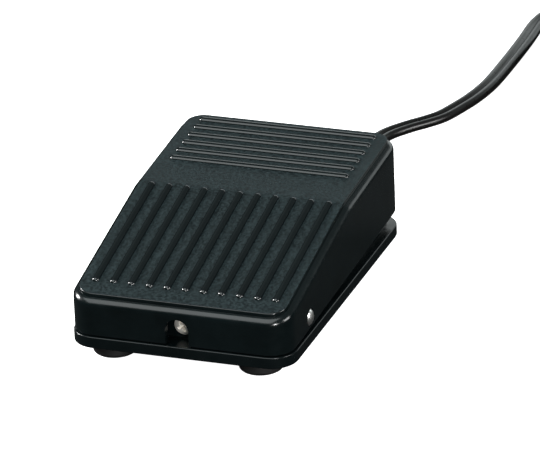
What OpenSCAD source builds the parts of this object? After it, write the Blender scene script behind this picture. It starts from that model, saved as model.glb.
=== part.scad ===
// Sustain pedal: a sprung foot pedal over a low tub, with a snap-action switch, a flat twin cord and a
// quarter-inch mono jack plug. X is the width, +Y the cord end, +Z up. The origin is the middle of the
// footprint on the floor.

/* [Base] */
// Width of the base flange
base_w = 65.2; // [65:0.1:72]
// Length of the base flange
base_l = 99; // [99:1:106]
// Height of the flange's upper face above the floor
flange_top = 7.2; // [6.4:0.1:8]
// Height of the tub's inner walls above the floor
tub_top = 14.5; // [14:0.1:15]

/* [Pedal] */
// Width of the pedal
pedal_w = 64.4; // [60:0.1:64.4]
// Height of the tread at its bend
bend_z = 30.35; // [29:0.05:32]
// Height that the tread's raised field stands above the rim
field_step = 1; // [0.6:0.1:1.4]
// Number of lengthwise ribs on the front panel
long_ribs = 11; // [5:1:11]
// Number of crosswise ribs on the rear panel
cross_ribs = 6; // [3:1:6]
// Width of a rib
rib_w = 2.2; // [1.6:0.1:2.6]
// Height of a rib above the field
rib_h = 0.8; // [0.4:0.1:1]

/* [Hinge] */
// Radius of the hinge pin
pin_r = 2.4; // [2:0.1:2.6]
// Height of the hinge pin above the floor
pin_z = 11.4; // [11.2:0.1:11.6]

/* [Feet] */
// Radius of a foot
foot_r = 6.3; // [5:0.1:8]
// Height of a foot below the base
foot_h = 3.8; // [3.4:0.1:4.2]

/* [Cord] */
// Width of the flat twin cord
cord_w = 5.4; // [4.6:0.1:5.4]
// Thickness of the flat twin cord
cord_t = 2.7; // [2.3:0.1:2.7]

/* [Hidden] */
$fn = 48;
eps = 0.01;
far = 200;

// base
base_corner = 7.5;
floor_top = foot_h + 2.4;
wall_t = 2;
tub_hw = pedal_w / 2 - 2.6;
tub_front = -42.6;
tub_rear = 46.2;
tub_corner = 4;
boss_hw = 5;
boss_rear = -26;
boss_top = 15.2;

// pedal: the tread has two slopes that meet at the bend
front_y = -49;
rear_y = 49.5;
pedal_corner = 6.9;
bend_y = 5.5;
front_slope = 0.2057;
rear_slope = 0.065;
skin = 2.2;
edge_r = 2;
skirt_front_z = 7.5;
skirt_angle = 2.2;
field_hw = pedal_w / 2 - 1.8;
field_front = -47.3;
field_rear = 48.1;
field_corner = 5;

// ribs
long_rib_pitch = 5.27;
long_rib_front = -41.9;
long_rib_rear = 5;
cross_rib_first = 20.4;
cross_rib_pitch = 4.86;
cross_rib_hw = 26.8;

// hinge
pin_y = -30;
pin_half = 33;
pin_edge = 1;
running = 0.05;

// lock screw
lock_z = 11.1;
lock_r = 1.5;
lock_tip = -32.5;
notch_r = 3.4;
notch_z = 11.9;

// feet
foot_x = 21.4;
foot_y = 41;
foot_edge = 1.2;
stem_r = 2.5;
stem_h = 1.5;

// spring
spring_y = 2;
spring_r = 5;
wire_r = 0.55;
spring_turns = 8;
spring_foot = floor_top + 0.05;

// switch: y and z run along the body, x across it
sw_front = 14;
sw_rear = 33.8;
sw_bottom = 11.2;
sw_top = 21.4;
sw_hw = 3.2;
sw_split = 2.2;
sw_mid = -0.5;
sw_hole_y = [19.15, 28.65];
sw_hole_z = 14.1;
sw_hole_r = 1.2;
tab_y = [16, 23.9, 31.9];
tab_top = [16.5, 16.5, 19.9];
tab_w = 2.6;
tab_t = 0.5;
tab_bottom = 7.4;
lever_y = 15.2;
lever_z = 22.1;
lever_len = 18;
lever_rest = 10.6;
plunger_y = 19.2;
plunger_z = 21.475;
blade_y = 16;
blade_z = 16.9;
actuator_y = 30;
actuator_z = 26.345;

// cord exit, clamp and grommet
exit_z = 10.5;
clamp_y = 39;
clamp_post_x = 6.9;
clamp_z = exit_z + cord_t / 2 + 0.05;
grommet_end = 61;

// coil and plug, beside the pedal on the floor
coil_x = 65;
coil_y = 201;
coil_lift = 0.6;
turn_r = 27;
turn_step = 5.6;
layer_step = 2.8;
layers = 5;
coil_hw = turn_step / 2 + cord_w / 2 + 0.1;
coil_h = (layers - 1) * layer_step + cord_t;
plug_x = 91;
plug_z = 6;
boot_y = 160;
housing_y = 144;
shoulder_y = 118;
sleeve_end = 94.4;
tip_end = 87.2;

// centre line of the cord from the clamp to the coil
LEAD = [
    [0, 35.5, 10.5], [0, 48, 10.5], [0, 61, 10.5], [0.2, 70, 9.6], [0.6, 79, 7.2], [1.3, 88, 4.6],
    [2.2, 97, 2.6], [3.2, 107, 1.5], [4.6, 116, 1.35], [9.2, 123.6, 1.35], [13, 128.3, 1.35],
    [16.5, 133.5, 1.35], [19.1, 141, 1.35], [21.6, 150.5, 1.35], [23.1, 162, 1.35], [23.4, 178, 1.35],
    [23.3, 195, 1.35], [22.9, 210, 1.35], [24.6, 219, 1.35], [29.5, 226, 1.35], [37, 229.6, 1.4],
    [45, 230.7, 1.6], [54, 230.9, 1.9], [61, 230.8, 1.95]
];
// centre line of the cord from the top of the coil to the plug
TAIL = [
    [61, 230.5, 15.95], [69, 230.5, 15.95], [78, 227.8, 15.95], [86.5, 221.5, 15.95], [92.5, 212.5, 15.9],
    [94.8, 202, 15.3], [94.6, 191, 13.4], [93.6, 181, 10.8], [92.2, 171, 8.2], [91, 158, 6]
];
// centre lines of the two leads inside the tub
WIRE_COMMON = [
    [-1.35, 35.4, 10.5], [-1.9, 33.6, 9.8], [-2.3, 30, 8.9], [-2.4, 25, 8.5], [-2.2, 20, 8.3], [-1.6, 17, 8.2],
    [-1, 15.4, 8.2]
];
WIRE_OPEN = [
    [1.35, 35.4, 10.5], [2.2, 33.6, 9.8], [2.6, 30.5, 9], [2.4, 27, 8.5], [1.6, 24.6, 8.3], [1, 22.9, 8.2]
];

// height of the tread's field at y
function tread_z(y) = bend_z + (y - bend_y) * (y < bend_y ? front_slope : rear_slope);
function slope_at(y) = atan(y < bend_y ? front_slope : rear_slope);
function unit(v) = v / norm(v);
// direction of a route at point i
function heading(p, i) = unit(p[min(i + 1, len(p) - 1)] - p[max(i - 1, 0)]);

// a closed tube of w by t swept along route p, with its width level
module swept(p, w, t, sides = 8) {
    rings = [for (i = [0 : len(p) - 1])
        let (h = heading(p, i), side = unit(cross(h, [0, 0, 1])), up = cross(side, h))
        [for (s = [0 : sides - 1])
            let (a = 360 * (s + 0.5) / sides)
            p[i] + (side * cos(a) * w + up * sin(a) * t) / (2 * cos(180 / sides))]];
    points = [for (r = rings) each r];
    last = (len(p) - 1) * sides;
    faces = concat(
        [[for (s = [0 : sides - 1]) s]],
        [[for (s = [sides - 1 : -1 : 0]) last + s]],
        [for (i = [0 : len(p) - 2]) for (s = [0 : sides - 1])
            let (a = i * sides + s, b = i * sides + (s + 1) % sides)
            each [[a, a + sides, b], [b, a + sides, b + sides]]]);
    polyhedron(points, faces, convexity = 8);
}

module rounded(w, l, r) {
    square([w - 2 * r, l], center = true);
    square([w, l - 2 * r], center = true);
    for (x = [-1, 1], y = [-1, 1]) translate([x * (w / 2 - r), y * (l / 2 - r)]) circle(r);
}
module rounded_span(hw, y0, y1, r) {
    translate([0, (y0 + y1) / 2]) rounded(2 * hw, y1 - y0, r);
}
// a side profile of y, z points run across the width
module across(w) {
    rotate([90, 0, 90]) linear_extrude(w, center = true) children();
}
module along_x(r, x0, x1) {
    translate([x0, 0, 0]) rotate([0, 90, 0]) cylinder(r = r, h = x1 - x0);
}
// a cylinder from y0 towards +y
module along_y(r, y0, y1) {
    translate([0, y1, 0]) rotate([90, 0, 0]) cylinder(r = r, h = y1 - y0);
}

module base() {
    color([0.06, 0.07, 0.07]) difference() {
        union() {
            translate([0, 0, foot_h]) linear_extrude(flange_top - foot_h)
                rounded(base_w, base_l, base_corner);
            tub_walls();
            translate([-boss_hw, tub_front + eps, floor_top - eps])
                cube([2 * boss_hw, boss_rear - tub_front, boss_top - floor_top]);
            for (s = [-1, 1]) translate([s * (tub_hw - 3) - 3, pin_y - 5, floor_top - eps])
                cube([6, 10, boss_top - floor_top]);
            spring_seat();
            switch_bracket();
            clamp_posts();
        }
        tub_pocket();
        translate([0, pin_y, pin_z]) along_x(pin_r + 0.02, -far, far);
        translate([0, 0, lock_z]) along_y(lock_r + 0.02, tub_front - 1, pin_y);
        for (x = [-1, 1], y = [-1, 1]) translate([x * foot_x, y * foot_y, 0])
            cylinder(r = stem_r + 0.1, h = foot_h + stem_h + 0.1);
        for (y = sw_hole_y) translate([0, y, sw_hole_z]) along_x(sw_hole_r - 0.08, -far, 0);
        for (s = [-1, 1]) translate([s * clamp_post_x, clamp_y, floor_top + 0.6]) cylinder(r = 1.02, h = 20);
        translate([-3.5, tub_rear - wall_t - 1, 7.6]) cube([7, wall_t + 2, 20]);
    }
}
module tub_walls() {
    translate([0, 0, foot_h + 1]) linear_extrude(tub_top - foot_h - 1) difference() {
        rounded_span(tub_hw, tub_front, tub_rear, tub_corner);
        rounded_span(tub_hw - wall_t, tub_front + wall_t, tub_rear - wall_t, tub_corner - wall_t);
    }
}
// the tub's floor lies below the flange's upper face
module tub_pocket() {
    translate([0, 0, floor_top]) linear_extrude(flange_top - floor_top + eps) difference() {
        rounded_span(tub_hw - wall_t, tub_front + wall_t, tub_rear - wall_t, tub_corner - wall_t);
        translate([-boss_hw, tub_front]) square([2 * boss_hw, boss_rear - tub_front]);
        for (s = [-1, 1]) translate([s * (tub_hw - 3) - 3, pin_y - 5]) square([6, 10]);
        translate([0, spring_y]) circle(spring_r + 2.6);
        translate([-8.2, sw_front]) square([8.2 - sw_hw - 0.1, sw_rear - sw_front]);
        translate([-4, clamp_y - 2.5]) square([8, 5]);
        for (s = [-1, 1]) translate([s * clamp_post_x, clamp_y]) circle(2.4);
    }
}
module spring_seat() {
    translate([0, spring_y, floor_top - eps]) {
        difference() {
            cylinder(r = spring_r + 2.4, h = 2.6);
            cylinder(r = spring_r + 0.9, h = 9);
        }
        cylinder(r = spring_r - 1, h = 3.5);
    }
}
module switch_bracket() {
    translate([-5.4, sw_front + 1, floor_top - eps]) cube([5.3 - sw_hw, 18, 13.8]);
    for (y = sw_hole_y) translate([0, y, sw_hole_z]) along_x(2.6, -8, -5.3);
}
module clamp_posts() {
    translate([-4, clamp_y - 2.5, floor_top - eps]) cube([8, 5, exit_z - cord_t / 2 - floor_top - 0.04]);
    for (s = [-1, 1]) translate([s * clamp_post_x, clamp_y, floor_top - eps])
        cylinder(r = 2.3, h = clamp_z - floor_top);
}

module pedal() {
    color([0.10, 0.12, 0.12]) difference() {
        union() {
            difference() {
                union() {
                    pedal_outside();
                    tread_field();
                }
                pedal_hollow();
            }
            tread_ribs();
            spring_spigot();
            actuator();
        }
        skirt_cut();
        translate([0, pin_y, pin_z]) along_x(pin_r + running, -far, far);
        front_notch();
        rear_notch();
    }
}
// outside of the shell up to the rim, with rounded upper edges
module pedal_outside() {
    hw = pedal_w / 2;
    rim = field_step + edge_r;
    hull() for (s = [-1, 1]) {
        for (y = [front_y + pedal_corner, rear_y - pedal_corner]) {
            translate([s * (hw - pedal_corner), y, tread_z(y) - rim]) rotate([slope_at(y), 0, 0])
                rotate_extrude($fn = 32) translate([pedal_corner - edge_r, 0]) circle(edge_r, $fn = 32);
            translate([s * (hw - pedal_corner), y, 4]) cylinder(r = pedal_corner, h = 6, $fn = 32);
        }
        translate([s * (hw - edge_r), bend_y, bend_z - rim]) sphere(edge_r, $fn = 32);
    }
}
module tread_profile(drop, depth) {
    polygon([
        [-60, tread_z(-60) - drop], [bend_y, bend_z - drop], [60, tread_z(60) - drop],
        [60, tread_z(60) - drop - depth], [bend_y, bend_z - drop - depth], [-60, tread_z(-60) - drop - depth]]);
}
module tread_field() {
    intersection() {
        across(80) tread_profile(0, field_step + 1);
        linear_extrude(50) rounded_span(field_hw, field_front, field_rear, field_corner);
    }
}
module pedal_hollow() {
    intersection() {
        across(80) tread_profile(field_step + skin, 60);
        linear_extrude(50)
            rounded_span(pedal_w / 2 - skin, front_y + skin, rear_y - skin, pedal_corner - skin);
    }
}
// a rib is the top of a round bar with ball ends, sunk so that rib_h stands proud
module rib(length) {
    bar_r = (rib_w * rib_w / 4 + rib_h * rib_h) / (2 * rib_h);
    run = length - rib_w;
    translate([0, 0, rib_h - bar_r]) {
        rotate([0, 90, 0]) cylinder(r = bar_r, h = run, center = true);
        for (s = [-1, 1]) translate([s * run / 2, 0, 0]) sphere(bar_r);
    }
}
module tread_ribs() {
    long_mid = (long_rib_front + long_rib_rear) / 2;
    for (i = [0 : long_ribs - 1])
        translate([(i - (long_ribs - 1) / 2) * long_rib_pitch, long_mid, tread_z(long_mid)])
            rotate([slope_at(long_mid), 0, 0]) rotate([0, 0, 90])
                rib((long_rib_rear - long_rib_front) / cos(slope_at(long_mid)));
    for (i = [0 : cross_ribs - 1]) let (y = cross_rib_first + i * cross_rib_pitch)
        translate([0, y, tread_z(y)]) rotate([slope_at(y), 0, 0]) rib(2 * cross_rib_hw);
}
module spring_spigot() {
    translate([0, spring_y, tread_z(spring_y) - field_step - skin - 5]) cylinder(r = spring_r - 1, h = 5.5);
}
// the nose that works the switch lever
module actuator() {
    top = tread_z(actuator_y) - field_step - skin + 0.5;
    translate([0, actuator_y, actuator_z]) along_x(1, sw_mid - 2.5, sw_mid + 2.5);
    translate([sw_mid - 2.5, actuator_y - 1, actuator_z]) cube([5, 2, top - actuator_z]);
}
module skirt_cut() {
    translate([0, front_y, skirt_front_z]) rotate([skirt_angle, 0, 0]) translate([-60, -60, -40])
        cube([120, far, 40]);
}
// arched openings for the lock screw and for the cord
module front_notch() {
    translate([0, 0, notch_z]) along_y(notch_r, front_y - 1, front_y + skin + 1);
    translate([-notch_r, front_y - 1, 0]) cube([2 * notch_r, skin + 2, notch_z]);
}
module rear_notch() {
    translate([0, 0, 13]) along_y(6.5, rear_y - skin - 1, rear_y + 1);
    translate([-6.5, rear_y - skin - 1, 0]) cube([13, skin + 2, 13]);
}

module hinge_pin() {
    color([0.78, 0.78, 0.76]) translate([0, pin_y, pin_z]) rotate([0, 90, 0]) rotate_extrude() polygon([
        [0, -pin_half], [pin_r - pin_edge, -pin_half], [pin_r, -pin_half + pin_edge],
        [pin_r, pin_half - pin_edge], [pin_r - pin_edge, pin_half], [0, pin_half]]);
}

// a pan head with a cross recess, its top at z = 0 and its shank below
module pan_head(r, h) {
    difference() {
        rotate_extrude() intersection() {
            translate([0, -h]) square([r, h]);
            translate([0, -1.35 * r - 0.02]) circle(1.35 * r + 0.02, $fn = 64);
        }
        for (a = [0, 90]) rotate([0, 0, a]) cube([r * 1.1, r * 0.26, h * 1.1], center = true);
    }
}
module screw(r, head_r, head_h, length) {
    pan_head(head_r, head_h);
    translate([0, 0, -head_h - length]) cylinder(r = r, h = length + eps);
    translate([0, 0, -head_h - length - r * 0.5]) cylinder(r1 = r * 0.5, r2 = r, h = r * 0.5 + eps);
}
module pin_lock_screw() {
    head_h = 1.9;
    tip = lock_r * 0.5;
    color([0.74, 0.72, 0.66]) translate([0, tub_front - head_h, lock_z]) rotate([90, 0, 0])
        screw(lock_r, 2.75, head_h, lock_tip - tub_front - tip);
}

module foot() {
    color([0.04, 0.04, 0.04]) rotate_extrude() difference() {
        union() {
            square([foot_r - foot_edge, foot_h]);
            translate([0, foot_edge]) square([foot_r, foot_h - foot_edge]);
            translate([foot_r - foot_edge, foot_edge]) circle(foot_edge);
            square([stem_r, foot_h + stem_h]);
        }
        translate([-20, -1]) square([20, 20]);
    }
}
module foot_front_left() { translate([-foot_x, -foot_y, 0]) foot(); }
module foot_front_right() { translate([foot_x, -foot_y, 0]) foot(); }
module foot_rear_left() { translate([-foot_x, foot_y, 0]) foot(); }
module foot_rear_right() { translate([foot_x, foot_y, 0]) foot(); }

module return_spring() {
    steps = 12;
    top = tread_z(spring_y - spring_r) - field_step - skin - 0.3;
    rise = top - spring_foot - 2 * wire_r;
    // both end coils lie flat, so the rise runs between the first and the last turn
    function climb(t) = min(max((t - 0.8) / (spring_turns - 1.6), 0.05 * t), 1 - 0.05 * (spring_turns - t));
    color([0.70, 0.70, 0.70]) translate([0, spring_y, spring_foot + wire_r])
        swept([for (i = [0 : steps * spring_turns]) let (t = i / steps)
            [spring_r * cos(360 * t), spring_r * sin(360 * t), rise * climb(t)]], 2 * wire_r, 2 * wire_r);
}

module switch_case() {
    color([0.13, 0.13, 0.15]) difference() {
        union() {
            translate([-sw_hw, sw_front, sw_bottom])
                cube([sw_hw + sw_split, sw_rear - sw_front, sw_top - sw_bottom]);
            for (x = [-sw_hw, sw_split - 1]) translate([x, lever_y - 1.1, sw_top - eps]) cube([1, 2.2, 1.8]);
        }
        translate([-2, sw_front + 1.2, 15.8]) cube([10, sw_rear - sw_front - 2.4, sw_top - 1.2 - 15.8]);
        for (y = sw_hole_y) translate([0, y, sw_hole_z]) along_x(sw_hole_r, -far, far);
        translate([0, lever_y, lever_z]) along_x(0.65, -far, far);
        translate([sw_mid, plunger_y, sw_top - 2]) cylinder(r = 1.06, h = 4);
        for (i = [0 : 2]) translate([-tab_t / 2 - 0.05, tab_y[i] - tab_w / 2 - 0.05, 0])
            cube([tab_t + 0.1, tab_w + 0.1, tab_top[i] + 0.05]);
    }
}
module switch_cover() {
    color([0.20, 0.05, 0.04]) difference() {
        translate([sw_split + 0.02, sw_front, sw_bottom])
            cube([sw_hw - sw_split - 0.02, sw_rear - sw_front, sw_top - sw_bottom]);
        for (y = sw_hole_y) translate([0, y, sw_hole_z]) along_x(sw_hole_r, -far, far);
    }
}
module switch_lever() {
    color([0.80, 0.80, 0.78]) translate([0, lever_y, lever_z]) {
        along_x(0.6, -sw_hw, sw_split);
        rotate([lever_rest, 0, 0]) translate([sw_mid - 1.6, 0, -0.2]) cube([3.2, lever_len, 0.4]);
    }
}
module switch_plunger() {
    color([0.55, 0.12, 0.08]) translate([sw_mid, plunger_y, 0]) {
        translate([0, 0, plunger_z]) sphere(1);
        translate([0, 0, 19]) cylinder(r = 1, h = plunger_z - 19);
        translate([0, 0, 18.4]) cylinder(r = 1.45, h = 0.8);
    }
}
module switch_blade() {
    color([0.76, 0.58, 0.30]) translate([sw_mid, blade_y, blade_z]) {
        along_x(0.35, -1.2, 1.2);
        rotate([8.5, 0, 0]) translate([-1.2, 0, -0.15]) cube([2.4, 14.2, 0.3]);
    }
}
module switch_terminals() {
    color([0.80, 0.68, 0.38]) for (i = [0 : 2]) difference() {
        translate([-tab_t / 2, tab_y[i] - tab_w / 2, tab_bottom]) cube([tab_t, tab_w, tab_top[i] - tab_bottom]);
        translate([0, tab_y[i], tab_bottom + 1.2]) along_x(0.6, -2, 2);
    }
}
module switch_screws() {
    color([0.74, 0.74, 0.72]) for (y = sw_hole_y)
        translate([sw_hw + 1.3, y, sw_hole_z]) rotate([0, 90, 0]) screw(sw_hole_r - 0.1, 2.1, 1.28, 10);
}
module lead_wire_common() {
    color([0.72, 0.72, 0.70]) swept(WIRE_COMMON, 1.3, 1.3);
}
module lead_wire_open() {
    color([0.05, 0.05, 0.05]) swept(WIRE_OPEN, 1.3, 1.3);
}

module cord_clamp() {
    color([0.10, 0.10, 0.10]) difference() {
        translate([-9.4, clamp_y - 2.5, clamp_z]) cube([18.8, 5, 1.6]);
        for (s = [-1, 1]) translate([s * clamp_post_x, clamp_y, 0]) cylinder(r = 1.3, h = 30);
    }
}
module clamp_screws() {
    color([0.74, 0.74, 0.72]) for (s = [-1, 1])
        translate([s * clamp_post_x, clamp_y, clamp_z + 1.6 + 1.32]) screw(1, 2.1, 1.3, 5);
}
// flat section with round ends, w by t
module flat_section(w, t) {
    square([w - t, t], center = true);
    for (s = [-1, 1]) translate([s * (w - t) / 2, 0]) circle(t / 2);
}
module grommet_block(y, w, h) {
    translate([0, y, exit_z]) rotate([90, 0, 0]) linear_extrude(0.2) rounded(w, h, 1.4);
}
module cord_grommet() {
    color([0.05, 0.05, 0.05]) difference() {
        union() {
            hull() {
                grommet_block(46.5, 9.4, 6.4);
                grommet_block(grommet_end, 7.2, 4.6);
            }
            translate([-3.4, tub_rear - wall_t - 0.3, 7.7]) cube([6.8, wall_t + 0.6, 5.9]);
            translate([-4.7, tub_rear - wall_t - 1.5, 7.3]) cube([9.4, 1.4, 6.6]);
        }
        translate([0, grommet_end + 1, exit_z]) rotate([90, 0, 0]) linear_extrude(30)
            flat_section(cord_w + 0.2, cord_t + 0.2);
    }
}
module cord_lead() {
    color([0.06, 0.06, 0.06]) swept(LEAD, cord_w, cord_t);
}
module cord_tail() {
    color([0.06, 0.06, 0.06]) swept(TAIL, cord_w, cord_t);
}
module cord_coil() {
    color([0.06, 0.06, 0.06]) translate([coil_x, coil_y, coil_lift]) rotate_extrude($fn = 96)
        translate([turn_r, coil_h / 2]) rounded(2 * coil_hw, coil_h, cord_t / 2);
}
module coil_tie() {
    side_gap = 0.35;
    gap = 0.1;
    color([0.12, 0.12, 0.12]) translate([coil_x - turn_r, coil_y + 3, coil_lift + coil_h / 2]) rotate([90, 0, 0])
        linear_extrude(6) difference() {
            rounded(2 * (coil_hw + side_gap) + 1.2, coil_h + 2 * coil_lift, 1.7);
            rounded(2 * (coil_hw + side_gap), coil_h + 2 * gap, 1.2);
        }
}

// the plug's pieces are turned about its axis, which runs towards -y from y = 0
module plug_axis() {
    translate([plug_x, 0, plug_z]) rotate([-90, 0, 0]) children();
}
module plug_housing() {
    color([0.05, 0.05, 0.05]) plug_axis() difference() {
        rotate_extrude() polygon([
            [0, shoulder_y], [5.2, shoulder_y], [6, shoulder_y + 1], [6, housing_y - 4], [5.2, housing_y - 1],
            [4.4, housing_y], [3.6, boot_y], [0, boot_y]]);
        translate([0, 0, boot_y - 4]) linear_extrude(6) flat_section(cord_w + 0.2, cord_t + 0.2);
        translate([0, 0, shoulder_y - 1]) cylinder(r = 2.85, h = 9);
    }
}
module plug_sleeve() {
    color([0.80, 0.80, 0.80]) plug_axis() difference() {
        union() {
            translate([0, 0, sleeve_end]) cylinder(r = 3.175, h = shoulder_y - sleeve_end);
            translate([0, 0, shoulder_y - eps]) cylinder(r = 2.8, h = 7);
        }
        translate([0, 0, sleeve_end - 1]) cylinder(r = 2.2, h = 60);
    }
}
module plug_insulator() {
    color([0.03, 0.03, 0.03]) plug_axis() difference() {
        union() {
            translate([0, 0, sleeve_end - 1.1]) cylinder(r = 2.9, h = 1.05);
            translate([0, 0, sleeve_end - 0.5]) cylinder(r = 2.15, h = shoulder_y + 6.5 - sleeve_end);
        }
        translate([0, 0, sleeve_end - 5]) cylinder(r = 1.3, h = 60);
    }
}
module plug_tip() {
    color([0.80, 0.80, 0.80]) plug_axis() {
        translate([0, 0, sleeve_end - 2]) cylinder(r = 1.25, h = shoulder_y + 7.5 - sleeve_end);
        rotate_extrude() polygon([
            [0, tip_end], [0.9, tip_end], [1.7, tip_end + 0.5], [2.9, tip_end + 2.6], [2.9, tip_end + 3.1],
            [1.9, tip_end + 4.6], [1.9, tip_end + 5.2], [2.8, sleeve_end - 1.15], [0, sleeve_end - 1.15]]);
    }
}

base();
pedal();
hinge_pin();
pin_lock_screw();
foot_front_left();
foot_front_right();
foot_rear_left();
foot_rear_right();
return_spring();
switch_case();
switch_cover();
switch_lever();
switch_plunger();
switch_blade();
switch_terminals();
switch_screws();
lead_wire_common();
lead_wire_open();
cord_clamp();
clamp_screws();
cord_grommet();
cord_lead();
cord_coil();
coil_tie();
cord_tail();
plug_housing();
plug_sleeve();
plug_insulator();
plug_tip();
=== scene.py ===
import math

import bmesh
import bpy
from mathutils import Matrix, Vector


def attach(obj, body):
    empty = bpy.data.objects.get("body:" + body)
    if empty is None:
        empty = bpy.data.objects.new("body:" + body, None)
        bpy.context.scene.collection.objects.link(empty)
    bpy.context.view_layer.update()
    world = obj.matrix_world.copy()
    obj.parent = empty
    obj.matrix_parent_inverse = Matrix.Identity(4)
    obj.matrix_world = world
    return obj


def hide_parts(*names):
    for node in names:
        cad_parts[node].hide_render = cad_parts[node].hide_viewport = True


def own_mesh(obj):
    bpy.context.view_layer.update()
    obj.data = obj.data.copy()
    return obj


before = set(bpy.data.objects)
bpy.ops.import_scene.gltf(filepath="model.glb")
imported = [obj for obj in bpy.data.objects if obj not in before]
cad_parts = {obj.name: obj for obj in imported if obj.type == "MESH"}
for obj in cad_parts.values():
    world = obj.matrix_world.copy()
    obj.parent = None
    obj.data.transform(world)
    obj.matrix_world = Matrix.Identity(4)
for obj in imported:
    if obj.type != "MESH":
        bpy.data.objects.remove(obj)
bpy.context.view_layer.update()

MM = 0.001
TAU = 2 * math.pi

# ---------------------------------------------------------------- camera

AZIMUTH = math.radians(20.868)
ELEVATION = math.radians(24.995)
ROLL = math.radians(-2.487)
DISTANCE = 1.6799
# The sensor's width, the lens, and how far right and up of the origin's image the middle lies, in mm
SENSOR = 36.0
LENS = 398.26667
AIM_RIGHT = 2.07107
AIM_UP = 4.8196


def make_camera():
    """It stands straight back from the origin and is aimed a little beside it."""
    back = Vector((
        math.sin(AZIMUTH) * math.cos(ELEVATION),
        -math.cos(AZIMUTH) * math.cos(ELEVATION),
        math.sin(ELEVATION),
    ))
    level = (-back).cross(Vector((0, 0, 1))).normalized()
    upright = level.cross(-back)
    right = math.cos(ROLL) * level + math.sin(ROLL) * upright
    up = -math.sin(ROLL) * level + math.cos(ROLL) * upright
    aim = (-LENS * back + AIM_RIGHT * right + AIM_UP * up).normalized()
    x = aim.cross(up).normalized()
    y = x.cross(aim)
    data = bpy.data.cameras.new("camera")
    data.sensor_width = SENSOR
    data.lens = LENS
    data.clip_start = 0.2
    data.clip_end = 30
    camera = bpy.data.objects.new("camera", data)
    turned = Matrix((x, y, -aim)).transposed().to_4x4()
    camera.matrix_world = Matrix.Translation(back * DISTANCE) @ turned
    bpy.context.scene.collection.objects.link(camera)
    bpy.context.scene.camera = camera


make_camera()

# ---------------------------------------------------------------- materials

PLASTIC_IOR = 1.46
CLOUD_SIZE = 9 * MM
MOTTLE_SIZE = 2.2 * MM
SINK_SIZE = 14 * MM
PEBBLE_SIZE = 0.75 * MM
TARNISH_SIZE = 1.6 * MM
BRUSHING_SIZE = 0.25 * MM


def new_material(name, roughness, metallic=0.0, specular=0.5):
    """A Principled material whose uniform values sit on the shader's own sockets."""
    made = bpy.data.materials.new(name)
    made.use_nodes = True
    nodes = made.node_tree.nodes
    shader = nodes["Principled BSDF"]
    shader.inputs["Roughness"].default_value = roughness
    shader.inputs["Metallic"].default_value = metallic
    shader.inputs["Specular IOR Level"].default_value = specular
    shader.inputs["IOR"].default_value = PLASTIC_IOR
    return made, shader


def coordinates(made):
    return made.node_tree.nodes.new("ShaderNodeTexCoord").outputs["Object"]


def stretched(made, vector, scale):
    """The same coordinates, scaled differently along each axis."""
    mapping = made.node_tree.nodes.new("ShaderNodeMapping")
    mapping.inputs["Scale"].default_value = scale
    made.node_tree.links.new(vector, mapping.inputs["Vector"])
    return mapping.outputs["Vector"]


def noise(made, vector, size, detail=3.0, rough=0.55):
    """Noise whose features are about size across, in metres."""
    node = made.node_tree.nodes.new("ShaderNodeTexNoise")
    node.inputs["Scale"].default_value = 1 / size
    node.inputs["Detail"].default_value = detail
    node.inputs["Roughness"].default_value = rough
    made.node_tree.links.new(vector, node.inputs["Vector"])
    return node.outputs["Fac"]


def ramp(made, value, low, high, start=0.3, end=0.7):
    """value from start to end becomes low to high, a number or a colour."""
    nodes = made.node_tree.nodes
    if isinstance(low, (int, float)):
        node = nodes.new("ShaderNodeMapRange")
        node.inputs["From Min"].default_value = start
        node.inputs["From Max"].default_value = end
        node.inputs["To Min"].default_value = low
        node.inputs["To Max"].default_value = high
        made.node_tree.links.new(value, node.inputs["Value"])
        return node.outputs["Result"]
    node = nodes.new("ShaderNodeValToRGB")
    stops = node.color_ramp.elements
    stops[0].position, stops[0].color = start, (*low, 1)
    stops[1].position, stops[1].color = end, (*high, 1)
    made.node_tree.links.new(value, node.inputs["Fac"])
    return node.outputs["Color"]


def bumps(made, shader, layers):
    """Height fields, each (value, depth in metres), one over the other."""
    normal = None
    for value, depth in layers:
        node = made.node_tree.nodes.new("ShaderNodeBump")
        node.inputs["Strength"].default_value = 1.0
        node.inputs["Distance"].default_value = depth
        made.node_tree.links.new(value, node.inputs["Height"])
        if normal:
            made.node_tree.links.new(normal, node.inputs["Normal"])
        normal = node.outputs["Normal"]
    made.node_tree.links.new(normal, shader.inputs["Normal"])


def moulded(name, dark, light, rough, grain, grain_depth, wave_depth=0.0, specular=0.5):
    """Moulded plastic or rubber: cloudy colour, uneven gloss, a fine grain and slow sink marks."""
    made, shader = new_material(name, rough[0], specular=specular)
    at = coordinates(made)
    link = made.node_tree.links.new
    cloud = noise(made, at, CLOUD_SIZE, 4)
    link(ramp(made, cloud, dark, light), shader.inputs["Base Color"])
    mottle = noise(made, at, MOTTLE_SIZE, 6, 0.6)
    link(ramp(made, mottle, rough[0], rough[1]), shader.inputs["Roughness"])
    layers = [(noise(made, at, grain, 2.5, 0.6), grain_depth)]
    if wave_depth:
        layers.append((noise(made, at, SINK_SIZE, 1.5), wave_depth))
    bumps(made, shader, layers)
    return made


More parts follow.
